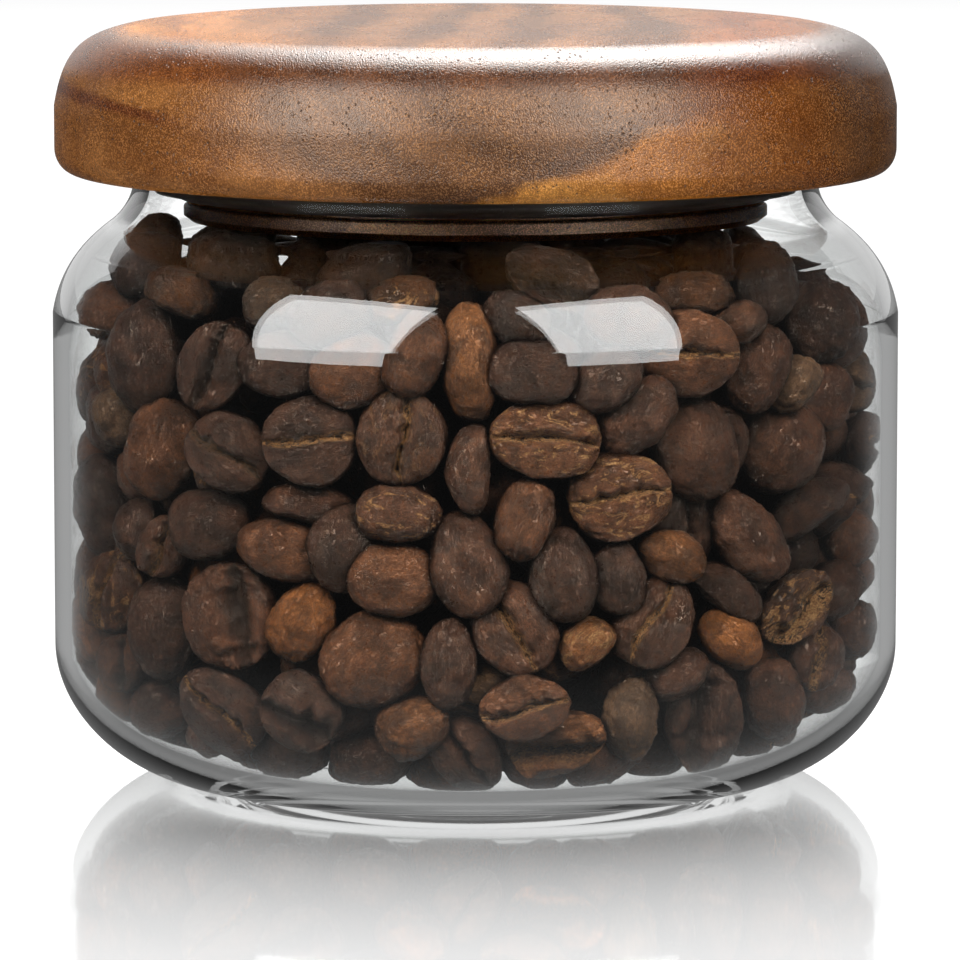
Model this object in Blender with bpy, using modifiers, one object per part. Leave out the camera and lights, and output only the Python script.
"""Food canister: a squat turned glass jar with a one-piece turned wooden lid, a silicone seal ring
in the lid's plug, and a fill of roasted coffee beans.

Metres, +Z up. The origin is the centre of the standing ring, on the surface that the jar rests on.
Every piece is turned about the Z axis from a profile of (radius, height) points.
"""

import math

import bmesh
import bpy

# A pair of curve handles is (offset from the start point, offset from the end point).

# Jar, outside
BODY_RADIUS = 0.0475
FOOT_RADIUS = 0.0325  # where the bottom corner leaves the standing ring
FOOT_INNER_RADIUS = 0.0268  # inner edge of the standing ring's flat land
PUNT_HEIGHT = 0.0012  # hollow under the floor, inside the standing ring
PUNT_ROUND = ((0.0012, 0.8), (0.0040, 1.0))  # in from the land, share of the punt's height
CORNER_HEIGHT = 0.0146  # bottom corner, from the foot to the straight body
CORNER_HANDLES = ((-0.0001, -0.49 * CORNER_HEIGHT), (0.0079, 0.0004))
SHOULDER_START = 0.0522  # top of the straight body
SHOULDER_RADIUS = 0.0409  # where the shoulder turns over into the neck
SHOULDER_HEIGHT = 0.0623
SHOULDER_HANDLES = ((0.0033, -0.0024), (-0.0008, 0.0048))
NECK_RADIUS = 0.0384  # outside of the neck at the rim
NECK_HEIGHT = 0.0670
NECK_HANDLES = ((0.0, -0.0021), (-0.0010, 0.0008))
RIM_HEIGHT = 0.0677  # top of the glass
RIM_OUTER_ROUND = ((0.0008, 0.0), (0.0003, 0.00012), (0.00005, 0.00038))  # in from neck, down
RIM_INNER_ROUND = ((0.00005, 0.0003), (0.0005, 0.0))  # out from bore, down

# Jar, thickness and inside
WALL = 0.0018  # glass of the body
RIM_WALL = 0.0020  # glass at the top of the neck
CORNER_WALL = 0.0024  # glass over the standing ring
CORNER_WALL_POWER = 1.6  # above 1, most of the thickening is low in the corner
FLOOR_THICKNESS = 0.0022  # glass at the middle of the base
FLOOR_HEIGHT = PUNT_HEIGHT + FLOOR_THICKNESS
FLOOR_FLAT_RADIUS = 0.6 * FOOT_RADIUS

# Lid cap
LID_GAP = 0.0003  # lid's seat above the glass rim
LID_SEAT = RIM_HEIGHT + LID_GAP
LID_RADIUS = 0.0472
LID_TOP = 0.0847
LID_TOP_FLAT_RADIUS = 0.0310  # flat of the top, inside its faintly domed border
LID_TOP_EDGE_RADIUS = 0.0388  # turned edge, where the top meets the rounding
LID_TOP_EDGE_DROP = 0.0005
LID_BORDER_HANDLES = ((0.0032, 0.0), (-0.0018, 0.0002))
LID_SHOULDER_HEIGHT = 0.0754  # where the top's rounding meets the side
LID_ROUND_HANDLES = ((0.0056, -0.0010), (-0.0010, 0.0059))
LID_BOTTOM_ROUND = (0.0022, 0.0027)  # radial, vertical
LID_BOTTOM_SEGMENTS = 4

# Lid plug and the seal's groove
PLUG_RADIUS = 0.0327
PLUG_BOTTOM = 0.0622
PLUG_CHAMFER = 0.0009
PLUG_UPPER_RADIUS = PLUG_RADIUS - 0.0003  # between the groove and the seat
GROOVE_RADIUS = 0.0309  # bottom of the groove
GROOVE_LOW = 0.0649
GROOVE_HIGH = 0.0672
GROOVE_BEVEL = 0.0006  # on the groove's lower outer edge

# Seal ring
SEAL_GAP = 0.0003  # to the groove
SEAL_ROOT_RADIUS = PLUG_RADIUS + 0.0002  # where the lip leaves the foot
SEAL_ROOT_RISE = 0.0002  # underside at the root, above the foot's underside
SEAL_LIP_CLEARANCE = 0.0004  # to the neck bore
SEAL_LIP_RADIUS = NECK_RADIUS - RIM_WALL - SEAL_LIP_CLEARANCE
SEAL_LIP_THICKNESS = 0.0010
SEAL_LIP_EDGE = 0.6 * SEAL_LIP_THICKNESS  # height of the lip's upright edge
SEAL_LIP_CROWN = 0.0002  # high point of the lip, above the foot
SEAL_BEVEL = 0.0006  # radial width of the slopes at the lip's edge and the foot's underside

# Bean fill
FILL_TOP = 0.0614  # level of the beans, just under the plug
FILL_GAP = 0.0004  # to the glass
FILL_EDGE_INSET = 0.0006  # top's edge, in from the highest point of the side
FILL_EDGE_RISE = 0.0002

# Mesh
STEPS = 64
FILL_STEPS = 48
SHARP_ANGLE = math.radians(35)
MERGE_DISTANCE = 2e-5  # profile points closer together than this become one
FILL_MERGE_DISTANCE = 1e-4


def bezier(start, end, handles, segments):
    """Points along a cubic curve from start to end."""
    leave, arrive = handles
    controls = (
        start,
        (start[0] + leave[0], start[1] + leave[1]),
        (end[0] + arrive[0], end[1] + arrive[1]),
        end,
    )
    points = []
    for i in range(segments + 1):
        t = i / segments
        weights = ((1 - t) ** 3, 3 * t * (1 - t) ** 2, 3 * t * t * (1 - t), t**3)
        points.append(
            tuple(sum(w * p[axis] for w, p in zip(weights, controls)) for axis in (0, 1))
        )
    return points


def merged(points, distance=MERGE_DISTANCE):
    """The profile without points closer together than distance."""
    kept = [points[0]]
    for point in points[1:]:
        if math.dist(point, kept[-1]) > distance:
            kept.append(point)
    return kept


def inset(points, thickness):
    """The curve moved inwards, square to itself, by thickness(z)."""
    moved = []
    for i, (radius, z) in enumerate(points):
        before = points[max(i - 1, 0)]
        after = points[min(i + 1, len(points) - 1)]
        along_r, along_z = after[0] - before[0], after[1] - before[1]
        length = math.hypot(along_r, along_z)
        depth = thickness(z)
        moved.append((radius + along_z / length * depth, z - along_r / length * depth))
    return moved


def glass_side():
    """Outside of the glass, from the top of the neck down to the standing ring."""
    neck_top = (NECK_RADIUS, NECK_HEIGHT)
    shoulder_top = (SHOULDER_RADIUS, SHOULDER_HEIGHT)
    body_top = (BODY_RADIUS, SHOULDER_START)
    body_bottom = (BODY_RADIUS, CORNER_HEIGHT)
    neck = bezier(neck_top, shoulder_top, NECK_HANDLES, segments=5)
    shoulder = bezier(shoulder_top, body_top, SHOULDER_HANDLES, segments=8)
    corner = bezier(body_bottom, (FOOT_RADIUS, 0.0), CORNER_HANDLES, segments=10)
    return merged(neck + shoulder + corner)


def glass_depth(z):
    """Thickness of the glass: even round the body, thicker at the neck and over the foot."""
    if z > SHOULDER_HEIGHT:
        rise = min((z - SHOULDER_HEIGHT) / (NECK_HEIGHT - SHOULDER_HEIGHT), 1.0)
        return WALL + (RIM_WALL - WALL) * rise
    fall = min(max((CORNER_HEIGHT - z) / CORNER_HEIGHT, 0.0), 1.0)
    return WALL + (CORNER_WALL - WALL) * fall**CORNER_WALL_POWER


def jar_profile():
    """Outer side from the rim down, under the foot, and back up inside."""
    side = glass_side()
    outside = [(NECK_RADIUS - across, RIM_HEIGHT - down) for across, down in RIM_OUTER_ROUND]
    outside += side
    outside.append((FOOT_INNER_RADIUS, 0.0))
    outside += [(FOOT_INNER_RADIUS - across, PUNT_HEIGHT * share) for across, share in PUNT_ROUND]
    outside.append((0.0, PUNT_HEIGHT))

    inside = [(0.0, FLOOR_HEIGHT), (FLOOR_FLAT_RADIUS, FLOOR_HEIGHT)]
    inside += inset(side, glass_depth)[::-1]
    bore = inside[-1][0]
    inside += [(bore + across, RIM_HEIGHT - down) for across, down in RIM_INNER_ROUND]
    return merged(outside) + merged(inside) + [outside[0]]


def lid_profile():
    """Cap, then the plug under it with the seal's groove."""
    flat_edge = (LID_TOP_FLAT_RADIUS, LID_TOP)
    top_edge = (LID_TOP_EDGE_RADIUS, LID_TOP - LID_TOP_EDGE_DROP)
    side_top = (LID_RADIUS, LID_SHOULDER_HEIGHT)
    cap = [(0.0, LID_TOP)]
    cap += bezier(flat_edge, top_edge, LID_BORDER_HANDLES, segments=3)
    cap += bezier(top_edge, side_top, LID_ROUND_HANDLES, segments=10)
    across, up = LID_BOTTOM_ROUND
    for i in range(LID_BOTTOM_SEGMENTS + 1):
        angle = math.radians(90 * i / LID_BOTTOM_SEGMENTS)
        radius = LID_RADIUS - across * (1 - math.cos(angle))
        cap.append((radius, LID_SEAT + up * (1 - math.sin(angle))))
    plug = [
        (PLUG_UPPER_RADIUS, LID_SEAT),
        (PLUG_UPPER_RADIUS, GROOVE_HIGH),
        (GROOVE_RADIUS, GROOVE_HIGH),
        (GROOVE_RADIUS, GROOVE_LOW),
        (PLUG_RADIUS - GROOVE_BEVEL, GROOVE_LOW),
        (PLUG_RADIUS, GROOVE_LOW - GROOVE_BEVEL),
        (PLUG_RADIUS, PLUG_BOTTOM + PLUG_CHAMFER),
        (PLUG_RADIUS - PLUG_CHAMFER, PLUG_BOTTOM),
        (0.0, PLUG_BOTTOM),
    ]
    return merged(cap + plug)


def seal_profile():
    """A foot seated in the groove, and a lip that reaches out towards the neck bore."""
    top = GROOVE_HIGH - SEAL_GAP
    low = GROOVE_LOW + SEAL_GAP
    foot_radius = GROOVE_RADIUS + SEAL_GAP
    return [
        (foot_radius, top),
        (SEAL_ROOT_RADIUS, top),
        (SEAL_LIP_RADIUS - SEAL_BEVEL, top + SEAL_LIP_CROWN),
        (SEAL_LIP_RADIUS, top),
        (SEAL_LIP_RADIUS, top - SEAL_LIP_EDGE),
        (SEAL_LIP_RADIUS - SEAL_BEVEL, top - SEAL_LIP_THICKNESS),
        (SEAL_ROOT_RADIUS, low + SEAL_ROOT_RISE),
        (SEAL_ROOT_RADIUS - SEAL_BEVEL, low),
        (foot_radius, low),
        (foot_radius, top),
    ]


def fill_profile():
    """The beans' bulk: it keeps a gap to the glass, and its top stays under the plug."""
    wall = inset(glass_side(), lambda z: glass_depth(z) + FILL_GAP)
    wall = [(radius, z) for radius, z in wall if z < FILL_TOP]
    edge = wall[0][0] - FILL_EDGE_INSET
    top = [(0.0, FILL_TOP), (edge * 0.5, FILL_TOP), (edge, FILL_TOP + FILL_EDGE_RISE)]
    floor = FLOOR_HEIGHT + FILL_GAP
    bottom = [(FLOOR_FLAT_RADIUS, floor), (0.0, floor)]
    return merged(top + wall + bottom, FILL_MERGE_DISTANCE)


def material(name, colour, roughness, transmission=0.0):
    made = bpy.data.materials.new(name)
    made.use_nodes = True
    inputs = made.node_tree.nodes["Principled BSDF"].inputs
    inputs["Base Color"].default_value = (*colour, 1.0)
    inputs["Roughness"].default_value = roughness
    inputs["Transmission Weight"].default_value = transmission
    made.diffuse_color = (*colour, 1.0)
    return made


def turned(name, profile, finish, collection, steps=STEPS):
    """A piece turned about Z from its profile, with an applied Screw modifier."""
    outline = bpy.data.meshes.new(name)
    shape = bmesh.new()
    corners = [shape.verts.new((radius, 0.0, z)) for radius, z in profile]
    for pair in zip(corners[:-1], corners[1:]):
        shape.edges.new(pair)
    # Joins the ends of a closed profile.
    bmesh.ops.remove_doubles(shape, verts=shape.verts, dist=1e-6)
    shape.to_mesh(outline)
    shape.free()

    piece = bpy.data.objects.new(name, outline)
    collection.objects.link(piece)
    screw = piece.modifiers.new("turn", "SCREW")
    screw.axis = "Z"
    screw.angle = math.radians(360)
    screw.steps = screw.render_steps = steps
    screw.use_merge_vertices = True
    screw.merge_threshold = 0.00001

    evaluated = piece.evaluated_get(bpy.context.evaluated_depsgraph_get())
    solid = bpy.data.meshes.new_from_object(evaluated)
    piece.modifiers.clear()
    piece.data = solid
    solid.name = name
    solid.materials.append(finish)
    solid.shade_smooth()
    solid.set_sharp_from_angle(angle=SHARP_ANGLE)
    bpy.data.meshes.remove(outline)
    return piece


def add_lift_axis(pieces, collection):
    """An empty at the lid's seat: the pieces lift off together, along Z through it."""
    lift = bpy.data.objects.new("lid_lift_axis", None)
    lift.empty_display_size = 0.01
    lift.location = (0.0, 0.0, LID_SEAT)
    collection.objects.link(lift)
    bpy.context.view_layer.update()
    for piece in pieces:
        piece.parent = lift
        piece.matrix_parent_inverse = lift.matrix_world.inverted()
    bpy.context.view_layer.update()


for old in list(bpy.data.objects):
    bpy.data.objects.remove(old, do_unlink=True)

canister = bpy.data.collections.new("food_canister")
bpy.context.scene.collection.children.link(canister)

glass = material("clear_glass", colour=(0.93, 0.95, 0.95), roughness=0.03, transmission=1.0)
wood = material("acacia_wood", colour=(0.36, 0.18, 0.075), roughness=0.38)
silicone = material("seal_silicone", colour=(0.45, 0.44, 0.42), roughness=0.5)
beans = material("roasted_beans", colour=(0.055, 0.027, 0.016), roughness=0.5)

turned("glass_jar", jar_profile(), glass, canister)
lid = turned("wood_lid", lid_profile(), wood, canister)
seal = turned("seal_ring", seal_profile(), silicone, canister)
turned("coffee_bean_fill", fill_profile(), beans, canister, steps=FILL_STEPS)
add_lift_axis((lid, seal), canister)
